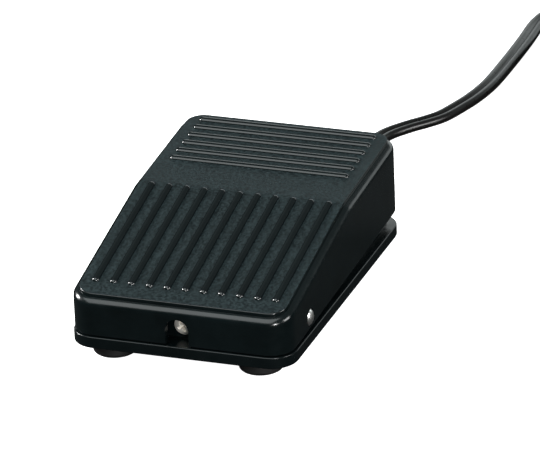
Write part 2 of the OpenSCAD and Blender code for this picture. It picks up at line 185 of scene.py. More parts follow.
def tread_material():
    """Spark-eroded plastic: a fine pebbled grain whose peaks are duller than its pits; in its base colour the
    peaks are paler as a painted sheen and the pits darker as painted shade.
    """
    made, shader = new_material("tread_grain_painted_sheen", 0.6, specular=0.18)
    at = coordinates(made)
    link = made.node_tree.links.new
    pebbles = noise(made, at, PEBBLE_SIZE, 2.0, 0.8)
    fine = noise(made, at, 0.17 * MM, 2.0, 0.6)
    cloud = noise(made, at, 11 * MM, 3.0)
    mixed = made.node_tree.nodes.new("ShaderNodeMix")
    mixed.data_type = "RGBA"
    mixed.blend_type = "MULTIPLY"
    mixed.inputs["Factor"].default_value = 1.0
    # Painted light: the base colour follows the bump's height. It is darker in the pits as painted shade and
    # paler on the peaks as a painted sheen.
    painted_pit_shade_to_peak_sheen = ramp(made, pebbles, (0.0011, 0.0037, 0.0044), (0.0140, 0.0230, 0.0248), 0.38, 0.62)
    link(painted_pit_shade_to_peak_sheen, mixed.inputs["A"])
    link(ramp(made, cloud, (0.86, 0.86, 0.86), (1.0, 1.0, 1.0)), mixed.inputs["B"])
    link(mixed.outputs["Result"], shader.inputs["Base Color"])
    link(ramp(made, pebbles, 0.48, 0.68), shader.inputs["Roughness"])
    bumps(made, shader, [(pebbles, 0.07 * MM), (fine, 0.012 * MM)])
    return made


def metal(name, dark, light, rough, scratch, scratch_size=(1, 1, 1)):
    """Metal with a stretched fine brushing and a little tarnish."""
    made, shader = new_material(name, rough[0], metallic=1.0)
    at = coordinates(made)
    link = made.node_tree.links.new
    cloud = noise(made, at, TARNISH_SIZE, 5, 0.6)
    link(ramp(made, cloud, dark, light), shader.inputs["Base Color"])
    lines = noise(made, stretched(made, at, scratch_size), BRUSHING_SIZE, 4, 0.6)
    link(ramp(made, lines, rough[0], rough[1]), shader.inputs["Roughness"])
    bumps(made, shader, [(lines, scratch)])
    return made


SHELL_GLOSS = moulded(
    "shell_gloss", (0.0010, 0.0024, 0.0026), (0.0020, 0.0042, 0.0046), (0.15, 0.25),
    0.5 * MM, 0.003 * MM, 0.006 * MM, specular=0.42)
TREAD_GRAIN_PAINTED_SHEEN = tread_material()
RIB_GLOSS = moulded(
    "rib_gloss", (0.0012, 0.0026, 0.0030), (0.0020, 0.0040, 0.0044), (0.09, 0.13),
    0.4 * MM, 0.0006 * MM, specular=0.5)
TUB_GLOSS = moulded(
    "tub_gloss", (0.0010, 0.0022, 0.0024), (0.0020, 0.0038, 0.0042), (0.18, 0.28),
    0.5 * MM, 0.003 * MM, 0.006 * MM, specular=0.36)
RUBBER = moulded(
    "foot_rubber", (0.006, 0.006, 0.006), (0.011, 0.011, 0.011), (0.42, 0.58),
    0.3 * MM, 0.010 * MM, specular=0.4)
CORD_PVC = moulded(
    "cord_pvc", (0.0022, 0.0020, 0.0018), (0.0040, 0.0036, 0.0032), (0.26, 0.34),
    0.35 * MM, 0.004 * MM, 0.02 * MM, specular=0.45)
TIE_NYLON = moulded(
    "tie_nylon", (0.010, 0.010, 0.011), (0.018, 0.018, 0.019), (0.35, 0.5),
    0.3 * MM, 0.004 * MM, specular=0.4)
PLUG_PVC = moulded(
    "plug_pvc", (0.007, 0.007, 0.007), (0.012, 0.012, 0.012), (0.34, 0.46),
    0.3 * MM, 0.008 * MM, specular=0.45)
SWITCH_DARK = moulded(
    "switch_phenolic", (0.018, 0.018, 0.021), (0.030, 0.030, 0.034), (0.40, 0.55),
    0.3 * MM, 0.006 * MM)
SWITCH_RED = moulded(
    "switch_nylon", (0.20, 0.022, 0.016), (0.28, 0.034, 0.024), (0.35, 0.5),
    0.3 * MM, 0.005 * MM)
CLAMP_NYLON = moulded(
    "clamp_nylon", (0.012, 0.012, 0.012), (0.022, 0.022, 0.022), (0.4, 0.55),
    0.35 * MM, 0.006 * MM)
WIRE_CLEAR = moulded(
    "wire_sheath", (0.36, 0.35, 0.32), (0.50, 0.49, 0.45), (0.2, 0.32),
    0.3 * MM, 0.006 * MM)
STEEL = metal(
    "turned_steel", (0.74, 0.74, 0.72), (0.88, 0.88, 0.86), (0.26, 0.38), 0.003 * MM)
# Nickel with its base colour raised near white, past nickel's own, as painted light on the screw that sits in
# the notch's shade.
NICKEL_PAINTED_BRIGHT = metal(
    "screw_nickel_painted_bright", (0.86, 0.83, 0.76), (0.98, 0.96, 0.92), (0.66, 0.80), 0.004 * MM)
PLUG_NICKEL = metal(
    "plug_nickel_plate", (0.62, 0.60, 0.56), (0.76, 0.74, 0.70), (0.07, 0.16), 0.0015 * MM, (1, 0.1, 1))
SPRING_WIRE = metal(
    "spring_wire", (0.38, 0.38, 0.38), (0.54, 0.54, 0.53), (0.22, 0.36), 0.004 * MM)
BRASS = metal(
    "contact_brass_plate", (0.52, 0.38, 0.17), (0.70, 0.54, 0.28), (0.2, 0.34), 0.004 * MM)

# ---------------------------------------------------------------- mesh helpers


def build(name, shells, material, sharp=32):
    """One object from closed shells, each (points in mm, faces)."""
    mesh = bpy.data.meshes.new(name)
    made = bmesh.new()
    for points, faces in shells:
        verts = [made.verts.new([c * MM for c in p]) for p in points]
        for f in faces:
            if len(set(f)) > 2:
                made.faces.new([verts[i] for i in f])
    bmesh.ops.recalc_face_normals(made, faces=made.faces)
    made.to_mesh(mesh)
    made.free()
    return finish_mesh(name, mesh, material, sharp)


def finish_mesh(name, mesh, material, sharp=32):
    mesh.materials.clear()
    mesh.materials.append(material)
    mesh.shade_smooth()
    mesh.set_sharp_from_angle(angle=math.radians(sharp))
    made = bpy.data.objects.new(name, mesh)
    bpy.context.scene.collection.objects.link(made)
    weighted = made.modifiers.new("weighted", "WEIGHTED_NORMAL")
    weighted.keep_sharp = True
    weighted.weight = 80
    return made


def place(obj, body, slot, *nodes):
    """Rides obj on a body, in place of the CAD nodes named."""
    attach(obj, body)
    if nodes:
        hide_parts(*nodes)
    return obj


def half_outline(half_width, front, rear, radius, stops=(), steps=7):
    """Right half of a rounded rectangle, from its front edge to its rear edge."""
    turns = [math.pi / 2 * i / steps for i in range(steps + 1)]
    points = [
        (half_width - radius * (1 - math.sin(a)), front + radius * (1 - math.cos(a)))
        for a in turns]
    points += [(half_width, y) for y in stops]
    points += [
        (half_width - radius * (1 - math.cos(a)), rear - radius * (1 - math.sin(a)))
        for a in turns]
    return points


def ring(half, z):
    """A whole outline from its right half; z is a height or a function of y."""
    height = z if callable(z) else (lambda y: z)
    right = [(x, y, height(y)) for x, y in half]
    return right + [(-x, y, h) for x, y, h in reversed(right)]


def loft(rings):
    """A closed shell through rings of one length, with its ends filled by strips."""
    n = len(rings[0])
    points = [p for r in rings for p in r]
    faces = []
    for k in range(len(rings) - 1):
        a, b = k * n, (k + 1) * n
        faces += [(a + i, a + (i + 1) % n, b + (i + 1) % n, b + i) for i in range(n)]
    for a in (0, (len(rings) - 1) * n):
        faces += [(a + i, a + i + 1, a + n - 2 - i, a + n - 1 - i) for i in range(n // 2 - 1)]
    return points, faces


def lathe(profile, steps=48, axis="z", at=(0, 0, 0)):
    """A closed shell turned about an axis through at; profile is (radius, along)."""
    points, faces = [], []
    rows = []
    for radius, along in profile:
        count = 1 if radius == 0 else steps
        rows.append((len(points), count))
        for i in range(count):
            a = TAU * i / steps
            u, v = radius * math.cos(a), radius * math.sin(a)
            p = {"z": (u, v, along), "y": (v, along, u), "x": (along, u, v)}[axis]
            points.append(tuple(p[k] + at[k] for k in range(3)))
    for (a, na), (b, nb) in zip(rows, rows[1:]):
        for i in range(steps):
            j = (i + 1) % steps
            if na == 1 and nb == 1:
                break
            if na == 1:
                faces.append((a, b + i, b + j))
            elif nb == 1:
                faces.append((a + i, a + j, b))
            else:
                faces.append((a + i, a + j, b + j, b + i))
    return points, faces


def arc(cx, cy, r, start, end, steps=5):
    """Profile points on an arc, angles in degrees."""
    return [
        (cx + r * math.cos(math.radians(start + (end - start) * i / steps)),
         cy + r * math.sin(math.radians(start + (end - start) * i / steps)))
        for i in range(steps + 1)]


def block(low, high, edge=0.25, steps=2):
    """A box with rounded edges: low and high are its corners."""
    mid = [(a + b) / 2 for a, b in zip(low, high)]
    half = [(b - a) / 2 for a, b in zip(low, high)]
    edge = min(edge, 0.45 * min(half))
    rings = []
    lean = [math.pi / 2 * i / steps for i in range(steps + 1)]
    levels = [(edge * (1 - math.sin(a)), -half[2] + edge * (1 - math.cos(a))) for a in lean]
    levels += [(inset, -z) for inset, z in reversed(levels)]
    for inset, z in levels:
        half_ring = half_outline(half[0] - inset, -half[1] + inset, half[1] - inset,
                                 max(edge - inset, 0.02) + 0.02, steps=2)
        rings.append([(x + mid[0], y + mid[1], h + mid[2]) for x, y, h in ring(half_ring, z)])
    return loft(rings)


def tube(route, section):
    """A closed mesh tube along a route, with its section's first axis kept level."""
    n = len(section)
    points, faces = [], []
    for i, p in enumerate(route):
        p = Vector(p)
        ahead = Vector(route[min(i + 1, len(route) - 1)]) - Vector(route[max(i - 1, 0)])
        ahead.normalize()
        side = ahead.cross(Vector((0, 0, 1))).normalized()
        up = side.cross(ahead)
        points += [tuple(p + side * u + up * v) for u, v in section]
    for k in range(len(route) - 1):
        a, b = k * n, (k + 1) * n
        faces += [(a + i, a + (i + 1) % n, b + (i + 1) % n, b + i) for i in range(n)]
    faces += [tuple(range(n)), tuple(range((len(route) - 1) * n, len(route) * n))]
    return points, faces


def smooth_route(points, step):
    """Points about a step apart on the smooth curve through the points given."""
    found = []
    pts = [Vector(p) for p in points]
    pts = [2 * pts[0] - pts[1]] + pts + [2 * pts[-1] - pts[-2]]
    for a, b, c, d in zip(pts, pts[1:], pts[2:], pts[3:]):
        count = max(1, round((c - b).length / step))
        for i in range(count):
            t = i / count
            found.append(0.5 * (
                2 * b + (c - a) * t + (2 * a - 5 * b + 4 * c - d) * t ** 2
                + (3 * b - a - 3 * c + d) * t ** 3))
    found.append(pts[-2])
    return [tuple(p) for p in found]


def cut_away(obj, cutter):
    """obj's mesh less the cutter, which is then removed."""
    mod = obj.modifiers.new("cut", "BOOLEAN")
    mod.operation = "DIFFERENCE"
    mod.object = cutter
    mod.solver = "EXACT"
    held = [m for m in obj.modifiers if m.type == "WEIGHTED_NORMAL"]
    for m in held:
        obj.modifiers.remove(m)
    bpy.context.view_layer.update()
    graph = bpy.context.evaluated_depsgraph_get()
    cut = bpy.data.meshes.new_from_object(obj.evaluated_get(graph))
    name, material = obj.name, obj.data.materials[0]
    bpy.data.objects.remove(obj)
    bpy.data.objects.remove(cutter)
    return finish_mesh(name, cut, material)


# ---------------------------------------------------------------- cord

CORD_W = 5.4
CORD_T = 2.7
LEAD = [
    (0, 35.5, 10.5), (0, 48, 10.5), (0, 61, 10.5), (0.2, 70, 9.6), (0.6, 79, 7.2), (1.3, 88, 4.6),
    (2.2, 97, 2.6), (3.2, 107, 1.5), (4.6, 116, 1.35), (9.2, 123.6, 1.35), (13, 128.3, 1.35),
    (16.5, 133.5, 1.35), (19.1, 141, 1.35), (21.6, 150.5, 1.35), (23.1, 162, 1.35), (23.4, 178, 1.35),
    (23.3, 195, 1.35), (22.9, 210, 1.35), (24.6, 219, 1.35), (29.5, 226, 1.35), (37, 229.6, 1.4),
    (45, 230.7, 1.6), (54, 230.9, 1.9), (61, 230.8, 1.95),
]
TAIL = [
    (61, 230.5, 15.95), (69, 230.5, 15.95), (78, 227.8, 15.95), (86.5, 221.5, 15.95), (92.5, 212.5, 15.9),
    (94.8, 202, 15.3), (94.6, 191, 13.4), (93.6, 181, 10.8), (92.2, 171, 8.2), (91, 158, 6),
]
COIL_X, COIL_Y = 65, 201
OUTER, INNER = 29.8, 24.2
FIRST_Z, LAYER = 1.95, 2.8
TURNS = [
    (OUTER, 0), (INNER, 0), (INNER, 1), (OUTER, 1), (OUTER, 2),
    (INNER, 2), (INNER, 3), (OUTER, 3), (OUTER, 4), (INNER, 4), (OUTER, 5),
]
CLIMB_END = 20
SHIFT_END = 55
TURN_STEP = 7.5
FIRST_SWEEP = 270
LAST_SWEEP = 75
ROUTE_STEP = 2.4
WAIST_ANGLE = 28


def coil_route():
    """The turns, clockwise seen from above: each climbs or shifts beside its start."""
    def ease(t):
        t = min(max(t, 0), 1)
        return t * t * (3 - 2 * t)

    def point(radius, level, angle):
        a = math.radians(angle)
        return (
            COIL_X + radius * math.cos(a), COIL_Y + radius * math.sin(a), FIRST_Z + LAYER * level)

    route = [point(OUTER, 0, 90 - TURN_STEP * i) for i in range(round(FIRST_SWEEP / TURN_STEP))]
    for before, now in zip(TURNS, TURNS[1:]):
        sweep = LAST_SWEEP if now is TURNS[-1] else 360
        for i in range(round(sweep / TURN_STEP)):
            turned = TURN_STEP * i
            climb = ease(turned / CLIMB_END)
            shift = ease((turned - CLIMB_END) / (SHIFT_END - CLIMB_END))
            radius = before[0] + (now[0] - before[0]) * shift
            level = before[1] + (now[1] - before[1]) * climb
            route.append(point(radius, level, 180 - turned))
    return route


def cord_section():
    """Two round cores side by side, joined by a narrow web."""
    r, off = CORD_T / 2, (CORD_W - CORD_T) / 2
    right = [
        (off + r * math.cos(math.radians(a)), r * math.sin(math.radians(a)))
        for a in range(WAIST_ANGLE - 180, 181 - WAIST_ANGLE, 19)]
    return right + [(-x, -y) for x, y in right]


CORD_ROUTE = smooth_route(LEAD + coil_route() + TAIL, ROUTE_STEP)

cord = place(
    build("cord", [tube(CORD_ROUTE, cord_section())], CORD_PVC, 60),
    "tub", "cord_black", "cord_lead", "cord_coil", "cord_tail")

# ---------------------------------------------------------------- grommet, tie and plug

GROMMET_STEPS = [
    # y, width, height, corner
    (43.0, 9.0, 6.2, 1.0), (43.3, 9.4, 6.6, 1.2), (44.4, 9.4, 6.6, 1.2), (44.5, 6.8, 5.9, 0.8),
    (46.1, 6.8, 5.9, 0.8), (46.2, 9.0, 6.0, 1.3), (46.5, 9.4, 6.4, 1.4), (48.6, 9.1, 6.15, 1.4),
    (49.0, 8.3, 5.3, 1.2), (50.2, 8.2, 5.2, 1.2), (50.6, 8.75, 5.85, 1.4), (52.6, 8.5, 5.6, 1.4),
    (53.0, 7.8, 4.9, 1.2), (54.2, 7.7, 4.8, 1.2), (54.6, 8.15, 5.35, 1.4), (56.6, 7.85, 5.1, 1.4),
    (57.0, 7.2, 4.5, 1.2), (58.2, 7.1, 4.4, 1.2), (58.6, 7.6, 4.85, 1.4), (60.6, 7.2, 4.6, 1.4),
    (61.0, 6.8, 4.2, 1.3),
]
EXIT_Z = 10.5


def grommet():
    rings = []
    for y, width, height, corner in GROMMET_STEPS:
        half = half_outline(width / 2, -height / 2, height / 2, corner, steps=4)
        rings.append([(x, y, z + EXIT_Z) for x, z, _ in ring(half, 0)])
    return build("grommet", [loft(rings)], RUBBER)


def coil_tie():
    """A flat strap round the coil."""
    cx, cz, y0, y1 = COIL_X - 27, 7.55, 198.05, 203.95
    rings = []
    for width, height, corner, y in (
            (12.5, 14.2, 1.1, y0), (13.3, 15.0, 1.6, y0 + 0.2), (13.45, 15.08, 1.7, y0 + 0.7),
            (13.45, 15.08, 1.7, y1 - 0.7), (13.3, 15.0, 1.6, y1 - 0.2), (12.5, 14.2, 1.1, y1),
            (12.0, 14.12, 1.0, y1 - 0.25), (12.0, 14.12, 1.0, y0 + 0.25)):
        half = half_outline(width / 2, -height / 2, height / 2, corner, steps=5)
        rings.append([(x + cx, y, z + cz) for x, z, _ in ring(half, 0)])
    rings.append(rings[0])
    n = len(rings[0])
    points = [p for r in rings[:-1] for p in r]
    m = len(rings) - 1
    faces = [
        (k * n + i, k * n + (i + 1) % n, (k + 1) % m * n + (i + 1) % n, (k + 1) % m * n + i)
        for k in range(m) for i in range(n)]
    return build("coil_tie_strap", [(points, faces)], TIE_NYLON)


PLUG_X, PLUG_Z = 91, 6
GROOVE_PITCH = 2.2


def along_plug(profile, steps=40):
    return lathe(profile, steps, "y", (PLUG_X, 0, PLUG_Z))


def plug_pieces():
    grip = [(0, 118), (4.9, 118), *arc(5.5, 118.5, 0.5, 270, 360, 3), (6, 119)]
    y = 121.0
    while y < 137:
        grip += [(6, y), (5.65, y + 0.25), (5.65, y + 0.95), (6, y + 1.2)]
        y += GROOVE_PITCH
    grip += [(6, 140), (5.75, 141.6), (5.2, 143), (4.5, 143.9)]
    y = 144.4
    while y < 157.5:
        taper = 4.4 - 0.8 * (y - 144) / 16
        grip += [(taper, y), (taper, y + 1.0), (taper - 0.55, y + 1.2), (taper - 0.55, y + 1.9)]
        y += GROOVE_PITCH
    grip += [(3.62, 158.6), (3.55, 159.6), (3.3, 160), (0, 160)]
    housing = build("plug_grip", [along_plug(grip)], PLUG_PVC)
    sleeve = build("plug_sleeve_barrel", [along_plug([
        (0, 94.6), (2.7, 94.6), (3.0, 94.45), (3.175, 94.75), (3.175, 117.6), (3.175, 118.0), (2.8, 118.1),
        (2.8, 120), (0, 120)])], PLUG_NICKEL)
    collar = build("plug_insulator_ring", [along_plug([
        (0, 93.32), (2.75, 93.32), (2.9, 93.5), (2.9, 94.2), (2.75, 94.4), (2.1, 94.5), (0, 96)])], PLUG_PVC)
    tip = build("plug_contact_tip", [along_plug([
        (0, 87.2), (0.6, 87.22), (1.1, 87.35), (1.7, 87.75), (2.3, 88.6), (2.8, 89.6), (2.9, 89.95),
        (2.9, 90.2), (2.75, 90.5), (2.2, 91.2), (1.95, 91.7), (1.9, 92.1), (1.98, 92.4), (2.4, 92.75),
        (2.75, 93.0), (2.8, 93.2), (2.7, 93.3), (1.2, 93.3), (1.2, 96), (0, 96)])], PLUG_NICKEL)
    return housing, sleeve, collar, tip


cord_grommet = place(grommet(), "tub", "rubber_black", "cord_grommet")
tie = place(coil_tie(), "tub", "tie_black", "coil_tie")
plug_grip, plug_barrel, plug_ring, plug_tip = plug_pieces()
place(plug_grip, "tub", "plug_black", "plug_housing")
place(plug_barrel, "tub", "plug_nickel", "plug_sleeve")
place(plug_ring, "tub", "plug_black", "plug_insulator")
place(plug_tip, "tub", "plug_nickel", "plug_tip")

# ---------------------------------------------------------------- pedal

HALF_W = 32.2
FRONT_Y, REAR_Y = -49.0, 49.5
CORNER = 6.9
FIELD_HW, FIELD_FRONT, FIELD_REAR, FIELD_CORNER = 30.4, -47.3, 48.1, 5.0
BEND_Y, BEND_Z = 5.5, 30.35
FRONT_SLOPE, REAR_SLOPE = 0.2057, 0.065
BEND_SOFT = 0.8
STEP = 1.0
EDGE = 2.0
SKIN = 2.2
SKIRT_Z, SKIRT_SLOPE = 7.5, math.tan(math.radians(2.2))
PIN_Y, PIN_Z, PIN_R = -30.0, 11.4, 2.4
PIN_CLEAR = 0.05
NOTCH_R, NOTCH_Z = 3.4, 11.9
CORD_ARCH_R, CORD_ARCH_Z = 6.5, 13.0
RIB_W, RIB_H = 2.2, 0.8
LONG_RIBS, LONG_PITCH, LONG_FRONT, LONG_REAR = 11, 5.27, -41.9, 5.0
CROSS_RIBS, CROSS_PITCH, CROSS_FIRST, CROSS_HALF = 6, 4.86, 20.4, 26.8
SPRING_Y, SPRING_FOOT = 2, 6.25
NOSE_Y, NOSE_Z = 30, 26.345


def tread_z(y):
    """Height of the tread's field at y, with the bend between its slopes eased."""
    d = y - BEND_Y
    z = BEND_Z + d * (FRONT_SLOPE if d < 0 else REAR_SLOPE)
    if abs(d) < BEND_SOFT:
        z -= (FRONT_SLOPE - REAR_SLOPE) * (BEND_SOFT - abs(d)) ** 2 / (4 * BEND_SOFT)
    return z


def skirt_z(y):
    return SKIRT_Z + (y - FRONT_Y) * SKIRT_SLOPE


def tread_stops():
    """Where the long sides take extra points, closest together over the bend."""
    bend = [BEND_Y + BEND_SOFT * s for s in (-1, -0.5, 0, 0.5, 1)]
    return [-38, -30, -20, -10, -2, *bend, 12, 20, 30, 38]


def shell_ring(inset, height):
    half = half_outline(
        HALF_W - inset, FRONT_Y + inset, REAR_Y - inset, max(CORNER - inset, 0.6), tread_stops(), 8)
    return ring(half, height)


def field_ring(inset, height):
    half = half_outline(
        FIELD_HW - inset, FIELD_FRONT + inset, FIELD_REAR - inset, FIELD_CORNER - inset, tread_stops(), 8)
    return ring(half, height)


def arch(radius, centre_z, low_y, high_y):
    """A cutter with a round top and straight sides down to below the skirt."""
    top = arc(0, centre_z, radius, 0, 180, 20)
    outline = top + [(-radius, 1), (radius, 1)]
    points = [(x, y, z) for y in (low_y, high_y) for x, z in outline]
    n = len(outline)
    faces = [(i, (i + 1) % n, n + (i + 1) % n, n + i) for i in range(n)]
    faces += [tuple(range(n)), tuple(range(n, 2 * n))]
    return points, faces


def pedal_shell():
    under = STEP + SKIN
    rings = [
        shell_ring(SKIN + 0.8, lambda y: tread_z(y) - under),
        shell_ring(SKIN + 0.35, lambda y: tread_z(y) - under - 0.12),
        shell_ring(SKIN + 0.1, lambda y: tread_z(y) - under - 0.4),
        shell_ring(SKIN, lambda y: tread_z(y) - under - 0.8),
        shell_ring(SKIN - 0.1, lambda y: skirt_z(y) + 0.3),
        shell_ring(SKIN - 0.3, lambda y: skirt_z(y) + 0.02),
        shell_ring(0.35, skirt_z),
        shell_ring(0.1, lambda y: skirt_z(y) + 0.1),
        shell_ring(0.0, lambda y: skirt_z(y) + 0.35),
        shell_ring(0.0, lambda y: tread_z(y) - STEP - EDGE - 0.15),
    ]
    for i in range(9):
        a = math.radians(85.5 * i / 8)
        inset, rise = EDGE * (1 - math.cos(a)), EDGE * math.sin(a)
        rings.append(shell_ring(inset, lambda y, rise=rise: tread_z(y) - STEP - EDGE + rise))
    for inset, drop in ((0.0, 0.96), (0.02, 0.85), (0.05, 0.30), (0.09, 0.15), (0.17, 0.05), (0.32, 0.0)):
        rings.append(field_ring(inset, lambda y, drop=drop: tread_z(y) - drop))
    return build("pedal_shell", [loft(rings)], SHELL_GLOSS)


def bar(x0, y0, x1, y1):
    """A low half-round bar with ball ends, standing on the tread from one end to the other."""
    radius = (RIB_W * RIB_W / 4 + RIB_H * RIB_H) / (2 * RIB_H)
    sunk = radius - RIB_H
    rings = [(RIB_W / 2 + 0.01, -0.12)]
    full = math.degrees(math.acos(sunk / radius))
    for i in range(12):
        a = math.radians(full * (1 - i / 11.5))
        rings.append((radius * math.sin(a), radius * math.cos(a) - sunk))
    run = Vector((x1 - x0, y1 - y0))
    length = run.length - RIB_W
    along = run.normalized()
    mid = Vector(((x0 + x1) / 2, (y0 + y1) / 2))
    across = Vector((along.y, -along.x))
    slope = (tread_z(y1) - tread_z(y0)) / (y1 - y0) if abs(y1 - y0) > 1 else (
        FRONT_SLOPE if mid.y < BEND_Y else REAR_SLOPE)
    tilt = math.atan(slope)
    lofted = []
    for r, h in rings:
        loop = []
        for end, start in ((1, -90), (-1, 90)):
            for i in range(15):
                a = math.radians(start + 180 * i / 14)
                u = end * length / 2 + r * math.cos(a)
                v = r * math.sin(a)
                p = mid + along * u + across * -v
                base = tread_z(mid.y) + (p.y - mid.y) * slope
                loop.append((p.x, p.y - h * math.sin(tilt), base + h * math.cos(tilt)))
        lofted.append(loop)
    return loft(lofted)


def pedal_ribs():
    shells = []
    for i in range(LONG_RIBS):
        x = (i - LONG_RIBS // 2) * LONG_PITCH
        shells.append(bar(x, LONG_FRONT, x, LONG_REAR))
    for i in range(CROSS_RIBS):
        y = CROSS_FIRST + CROSS_PITCH * i
        shells.append(bar(-CROSS_HALF, y, CROSS_HALF, y))
    return build("pedal_ribs", shells, RIB_GLOSS, 50)


def pedal_inside():
    """The spring's spigot and the nose that works the switch."""
    roof = tread_z(SPRING_Y) - STEP - SKIN
    spigot = lathe([(0, roof - 5), (3.1, roof - 5), (3.5, roof - 4.6), (3.5, roof + 0.5), (0, roof + 0.5)],
                   32, "z", (0, SPRING_Y, 0))
    nose = lathe([(0, -3), (0.8, -3), (1, -2.8), (1, 1.8), (0.8, 2), (0, 2)], 24, "x", (0, NOSE_Y, NOSE_Z))
    web = block((-3, NOSE_Y - 1, NOSE_Z), (2, NOSE_Y + 1, tread_z(NOSE_Y) - STEP - SKIN + 0.5), 0.2)
    return build("pedal_spigot_and_nose", [spigot, nose, web], SHELL_GLOSS)


def pin_hole(low_x, high_x):
    """A cutter for the pin's hole in one side wall."""
    r = PIN_R + PIN_CLEAR
    return lathe([(0, low_x), (r, low_x), (r, high_x), (0, high_x)], 40, "x", (0, PIN_Y, PIN_Z))


shell = pedal_shell()
cutters = build("cutters", [
    arch(NOTCH_R, NOTCH_Z, FRONT_Y - 1, FRONT_Y + SKIN + 1),
    arch(CORD_ARCH_R, CORD_ARCH_Z, REAR_Y - SKIN - 1, REAR_Y + 1),
    pin_hole(-40, -28), pin_hole(28, 40)], SHELL_GLOSS)
shell = place(cut_away(shell, cutters), "pedal", "pedal_shell", "pedal")
shell.data.materials.append(TREAD_GRAIN_PAINTED_SHEEN)
for face in shell.data.polygons:
    c = face.center / MM
    on_top = face.normal.z > 0.9 and c.z > tread_z(c.y) - 0.12
    if on_top:
        face.material_index = 1
place(pedal_ribs(), "pedal", "pedal_shell")
place(pedal_inside(), "pedal", "pedal_shell")

# ---------------------------------------------------------------- tub

BASE_HW, BASE_FRONT, BASE_REAR, BASE_CORNER = 32.6, -49.5, 49.5, 7.5
FOOT_H, FLANGE_TOP, FLOOR_TOP, TUB_TOP = 3.8, 7.2, 6.2, 14.5
TUB_HW, TUB_FRONT, TUB_REAR, TUB_CORNER, WALL = 29.6, -42.6, 46.2, 4.0, 2.0
FLANGE_LOW_EDGE, FLANGE_TOP_EDGE = 0.35, 0.3
BOSS_TOP = 15.2
CLAMP_X, CLAMP_Y = 6.9, 39
SWITCH_SCREW_Y, SWITCH_SCREW_Z = (19.15, 28.65), 14.1


def tub_shell():
    def flange(inset, z):
        return ring(half_outline(
            BASE_HW - inset, BASE_FRONT + inset, BASE_REAR - inset, BASE_CORNER - inset, (-20, 0, 20), 10), z)

    def wall(inset, z):
        corner = max(TUB_CORNER - inset, 1)
        return ring(half_outline(
            TUB_HW - inset, TUB_FRONT + inset, TUB_REAR - inset, corner, (-20, 0, 20), 10), z)

    low, top = FLANGE_LOW_EDGE, FLANGE_TOP_EDGE
    rings = [flange(low, FOOT_H)]
    rings += [flange(low * (1 - math.sin(a)), FOOT_H + low * (1 - math.cos(a)))
              for a in (math.pi / 6 * i for i in range(1, 4))]
    rings += [flange(top * (1 - math.cos(a)), FLANGE_TOP - top + top * math.sin(a))
              for a in (math.pi / 8 * i for i in range(5))]
    rings += [wall(-0.5, FLANGE_TOP), wall(-0.15, FLANGE_TOP + 0.12), wall(0, FLANGE_TOP + 0.5)]
    rings += [wall(0, TUB_TOP - 0.4), wall(0.12, TUB_TOP - 0.12), wall(0.4, TUB_TOP)]
    rings += [wall(WALL - 0.4, TUB_TOP), wall(WALL - 0.1, TUB_TOP - 0.12), wall(WALL, TUB_TOP - 0.4)]
    rings += [wall(WALL, FLOOR_TOP + 0.4), wall(WALL + 0.12, FLOOR_TOP + 0.1), wall(WALL + 0.5, FLOOR_TOP)]
    return loft(rings)


def tub_features():
    """Bosses for the pin and screw, the spring's seat, the switch's bracket and the cord's posts."""
    z = FLOOR_TOP - 0.05
    shells = [block((-5, TUB_FRONT + 1, z), (5, -26, BOSS_TOP), 0.4)]
    for s in (-1, 1):
        x = s * (TUB_HW - 3)
        shells.append(block((x - 3, PIN_Y - 5, z), (x + 3, PIN_Y + 5, BOSS_TOP), 0.4))
        shells.append(lathe(
            [(0, z), (2.3, z), (2.3, 11.6), (2.1, 11.88), (1.02, 11.88), (1.02, 8), (0, 8)], 32, "z",
            (s * CLAMP_X, CLAMP_Y, 0)))
    shells.append(lathe(
        [(0, z), (7.4, z), (7.4, 8.5), (7.1, 8.78), (6.1, 8.78), (5.9, 8.5), (5.9, SPRING_FOOT),
         (4, SPRING_FOOT), (4, 9.3), (3.6, 9.68), (0, 9.68)], 40, "z", (0, SPRING_Y, 0)))
    shells.append(block((-5.4, 15, z), (-3.3, 33, 19.95), 0.3))
    for y in SWITCH_SCREW_Y:
        shells.append(lathe(
            [(0, -8), (2.3, -8), (2.6, -7.7), (2.6, -5.2), (0, -5.2)], 32, "x", (0, y, SWITCH_SCREW_Z)))
    shells.append(block((-4, 36.5, z), (4, 41.5, EXIT_Z - CORD_T / 2 - 0.03), 0.3))
    return shells


place(build("tub_body", [tub_shell(), *tub_features()], TUB_GLOSS), "tub", "tub_black", "base")


FOOT_R, FOOT_EDGE = 6.3, 1.2
FOOT_X, FOOT_Y = 21.4, 41.0


def foot_profile():
    """A round-edged disc with a ring groove in its sole and a stem sunk in the tub."""
    return [
        (0, 0), (3.3, 0), (3.45, 0.12), (3.85, 0.12), (4.0, 0),
        *arc(FOOT_R - FOOT_EDGE, FOOT_EDGE, FOOT_EDGE, 270, 360, 7),
        (FOOT_R, 3.35), (FOOT_R - 0.1, 3.66), (FOOT_R - 0.4, 3.79), (2.5, 3.79), (2.5, 5.3), (0, 5.3)]


for side, x in (("left", -FOOT_X), ("right", FOOT_X)):
    for end, y in (("front", -FOOT_Y), ("rear", FOOT_Y)):
        node = f"foot_{end}_{side}"
        place(build(f"rubber_{node}", [lathe(foot_profile(), 56, "z", (x, y, 0))], RUBBER),
              "tub", "rubber_black", node)

# ---------------------------------------------------------------- metal parts


def pan_head(radius, height):
    """Profile of a rounded screw head whose top is at 0, from its axis out."""
    drop = 0.62 * height
    ball = (radius ** 2 + drop ** 2) / (2 * drop)
    crown = [(r, math.sqrt(ball ** 2 - r ** 2) - ball) for r in (radius * i / 10 for i in range(11))]
    return crown + [(radius, -height + 0.15), (radius - 0.15, -height)]


